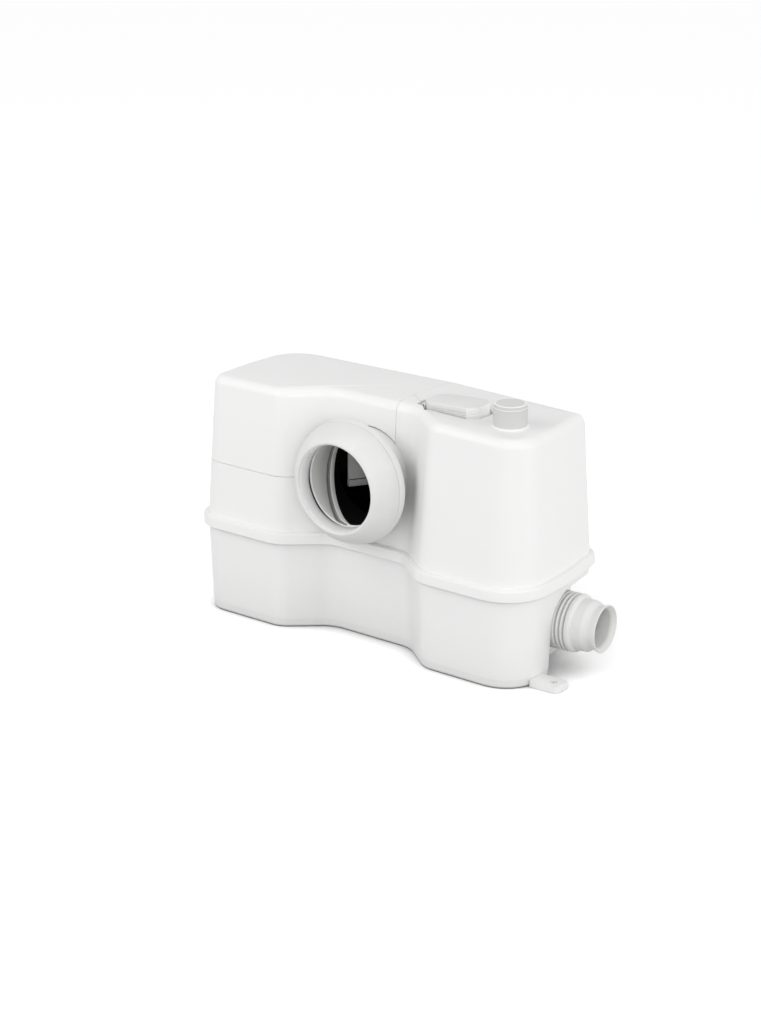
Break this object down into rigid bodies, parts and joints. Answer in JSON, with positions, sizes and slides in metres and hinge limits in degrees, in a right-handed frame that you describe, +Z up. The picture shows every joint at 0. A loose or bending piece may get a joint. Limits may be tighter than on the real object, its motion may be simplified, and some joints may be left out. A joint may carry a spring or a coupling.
{
  "type": "macerator toilet pump",
  "caption": "White moulded macerator pump that stands behind a toilet pan, with a large rubber inlet collar at the front, a folded side inlet, a vent box and a capped discharge neck on top.",
  "frame": {"origin": "on the floor, half way between the two floor screws", "axes": "+Z up, -Y towards the toilet pan, +X towards the side inlet's end"},
  "size_m": [0.4742, 0.1795, 0.281],
  "materials": {
    "shell_white": "satin moulded white",
    "white_rubber": "soft matt white",
    "black_rubber": "matt black",
    "black_plastic": "moulded black",
    "grey_plastic": "moulded grey",
    "steel": "turned",
    "iron": "stacked sheet",
    "cast_aluminium": "cast",
    "copper": "varnished wire",
    "board_green": "printed board"
  },
  "bodies": {
    "housing": {"lower_tank": "shell_white", "tank_seal": "black_rubber", "upper_tank": "shell_white", "inlet_collar": "white_rubber", "inlet_band": "steel", "side_sleeve": "white_rubber", "splash_baffle": "grey_plastic", "vent_frame": "shell_white", "vent_hinge_pin": "steel", "carbon_filter": "black_plastic", "motor_plate": "cast_aluminium", "plate_seal": "black_rubber", "motor_screws": "steel", "motor_can": "cast_aluminium", "stator_core": "iron", "stator_windings": "copper", "top_bearing": "steel", "lower_bearing": "steel", "shaft_tube": "black_plastic", "shaft_seal": "black_rubber", "pump_housing": "black_plastic", "grinder_ring": "steel", "grinder_screws": "steel", "pump_coupler": "black_rubber", "discharge_pipe": "grey_plastic", "valve_coupler": "black_rubber", "valve_body": "grey_plastic", "flap_pin": "steel", "riser_pipe": "grey_plastic", "level_tube": "grey_plastic", "pressure_switch": "black_plastic", "micro_switch": "black_plastic", "capacitor": "shell_white", "control_box": "black_plastic", "control_board": "board_green", "control_lid": "black_plastic", "cable_gland": "shell_white"},
    "rotor": {"motor_shaft": "steel", "rotor_core": "iron", "impeller": "steel", "grinder_head": "steel", "shaft_nut": "steel"},
    "non_return_flap": {"valve_flap": "black_rubber"},
    "lid": {"vent_lid": "shell_white"},
    "cover": {"motor_cover": "shell_white"},
    "cap": {"discharge_cap": "shell_white"},
    "plunger": {"switch_plunger": "white_rubber"}
  },
  "joints": [
    {"name": "rotor_spin", "type": "hinge", "parent": "housing", "child": "rotor", "pos_m": [-0.126, -0.004, 0.1], "axis": [0, 0, 1], "continuous": true},
    {"name": "flap_swing", "type": "hinge", "parent": "housing", "child": "non_return_flap", "pos_m": [0.152, 0.0005, 0.1291], "axis": [-1, 0, 0], "range_deg": [0, 70]},
    {"name": "lid_hinge", "type": "hinge", "parent": "housing", "child": "lid", "pos_m": [0.049, -0.006, 0.25904], "axis": [0, -1, 0], "range_deg": [0, 95]},
    {"name": "cover_lift", "type": "slide", "parent": "housing", "child": "cover", "axis": [0, 0, 1], "range_m": [0, 0.11]},
    {"name": "cap_pull", "type": "slide", "parent": "housing", "child": "cap", "axis": [0, 0, 1], "range_m": [0, 0.04]},
    {"name": "plunger_press", "type": "slide", "parent": "housing", "child": "plunger", "axis": [0, 0, 1], "range_m": [0, 0.002], "stiffness_N_per_m": 150}
  ]
}
